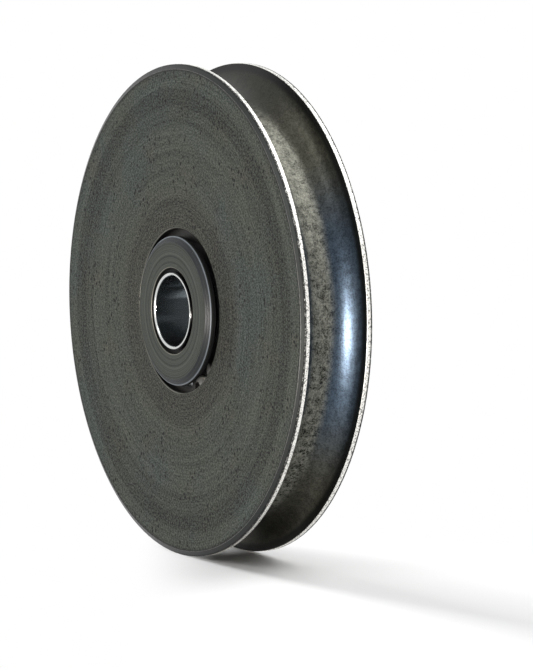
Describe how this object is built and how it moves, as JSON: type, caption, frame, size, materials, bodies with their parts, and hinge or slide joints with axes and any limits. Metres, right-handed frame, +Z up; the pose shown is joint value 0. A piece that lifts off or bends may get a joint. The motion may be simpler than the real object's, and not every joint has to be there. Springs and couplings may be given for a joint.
{
  "type": "rope pulley",
  "caption": "Turned steel rope pulley with a half-round groove, running on a sealed ball bearing round a fixed sleeve with a flanged washer on each side.",
  "frame": {"origin": "on the axle line, at the middle of the pulley's width", "axes": "+Y along the axle line towards the rear, -Y out of the front face with the retaining ring, +Z up, +X to the right seen from the front"},
  "size_m": [0.125, 0.024, 0.125],
  "materials": {
    "turned_steel": "turned and blackened, matte",
    "washer_steel": "turned, satin",
    "ground_steel": "ground",
    "bearing_steel": "ground and honed",
    "ball_steel": "polished",
    "pressed_steel": "pressed sheet",
    "spring_steel": "phosphated",
    "seal_rubber": "moulded"
  },
  "bodies": {
    "hub": {"axle_sleeve": "ground_steel", "washer_front": "washer_steel", "washer_rear": "washer_steel", "bearing_inner_ring": "bearing_steel"},
    "sheave": {"sheave": "turned_steel", "bearing_outer_ring": "bearing_steel", "seal_front": "seal_rubber", "seal_rear": "seal_rubber", "circlip": "spring_steel"},
    "cage": {"cage_front": "pressed_steel", "cage_rear": "pressed_steel", "cage_rivets": "pressed_steel"},
    "ball_1": {"ball_1": "ball_steel"},
    "ball_2": {"ball_2": "ball_steel"},
    "ball_3": {"ball_3": "ball_steel"},
    "ball_4": {"ball_4": "ball_steel"},
    "ball_5": {"ball_5": "ball_steel"},
    "ball_6": {"ball_6": "ball_steel"},
    "ball_7": {"ball_7": "ball_steel"},
    "ball_8": {"ball_8": "ball_steel"},
    "ball_9": {"ball_9": "ball_steel"}
  },
  "joints": [
    {"name": "sheave_spin", "type": "hinge", "parent": "hub", "child": "sheave", "pos_m": [0, 0, 0], "axis": [0, 1, 0], "continuous": true},
    {"name": "cage_spin", "type": "hinge", "parent": "hub", "child": "cage", "pos_m": [0, 0, 0], "axis": [0, 1, 0], "continuous": true},
    {"name": "ball_1_spin", "type": "hinge", "parent": "cage", "child": "ball_1", "pos_m": [0, 0, 0.0155], "axis": [0, 1, 0], "continuous": true},
    {"name": "ball_2_spin", "type": "hinge", "parent": "cage", "child": "ball_2", "pos_m": [0.00996, 0, 0.01187], "axis": [0, 1, 0], "continuous": true},
    {"name": "ball_3_spin", "type": "hinge", "parent": "cage", "child": "ball_3", "pos_m": [0.01526, 0, 0.00269], "axis": [0, 1, 0], "continuous": true},
    {"name": "ball_4_spin", "type": "hinge", "parent": "cage", "child": "ball_4", "pos_m": [0.01342, 0, -0.00775], "axis": [0, 1, 0], "continuous": true},
    {"name": "ball_5_spin", "type": "hinge", "parent": "cage", "child": "ball_5", "pos_m": [0.0053, 0, -0.01457], "axis": [0, 1, 0], "continuous": true},
    {"name": "ball_6_spin", "type": "hinge", "parent": "cage", "child": "ball_6", "pos_m": [-0.0053, 0, -0.01457], "axis": [0, 1, 0], "continuous": true},
    {"name": "ball_7_spin", "type": "hinge", "parent": "cage", "child": "ball_7", "pos_m": [-0.01342, 0, -0.00775], "axis": [0, 1, 0], "continuous": true},
    {"name": "ball_8_spin", "type": "hinge", "parent": "cage", "child": "ball_8", "pos_m": [-0.01526, 0, 0.00269], "axis": [0, 1, 0], "continuous": true},
    {"name": "ball_9_spin", "type": "hinge", "parent": "cage", "child": "ball_9", "pos_m": [-0.00996, 0, 0.01187], "axis": [0, 1, 0], "continuous": true}
  ],
  "couplings": [
    {"joint": "cage_spin", "follows": "sheave_spin", "ratio": 0.60242},
    {"joint": "ball_1_spin", "follows": "sheave_spin", "ratio": 2.3385},
    {"joint": "ball_2_spin", "follows": "sheave_spin", "ratio": 2.3385},
    {"joint": "ball_3_spin", "follows": "sheave_spin", "ratio": 2.3385},
    {"joint": "ball_4_spin", "follows": "sheave_spin", "ratio": 2.3385},
    {"joint": "ball_5_spin", "follows": "sheave_spin", "ratio": 2.3385},
    {"joint": "ball_6_spin", "follows": "sheave_spin", "ratio": 2.3385},
    {"joint": "ball_7_spin", "follows": "sheave_spin", "ratio": 2.3385},
    {"joint": "ball_8_spin", "follows": "sheave_spin", "ratio": 2.3385},
    {"joint": "ball_9_spin", "follows": "sheave_spin", "ratio": 2.3385}
  ]
}
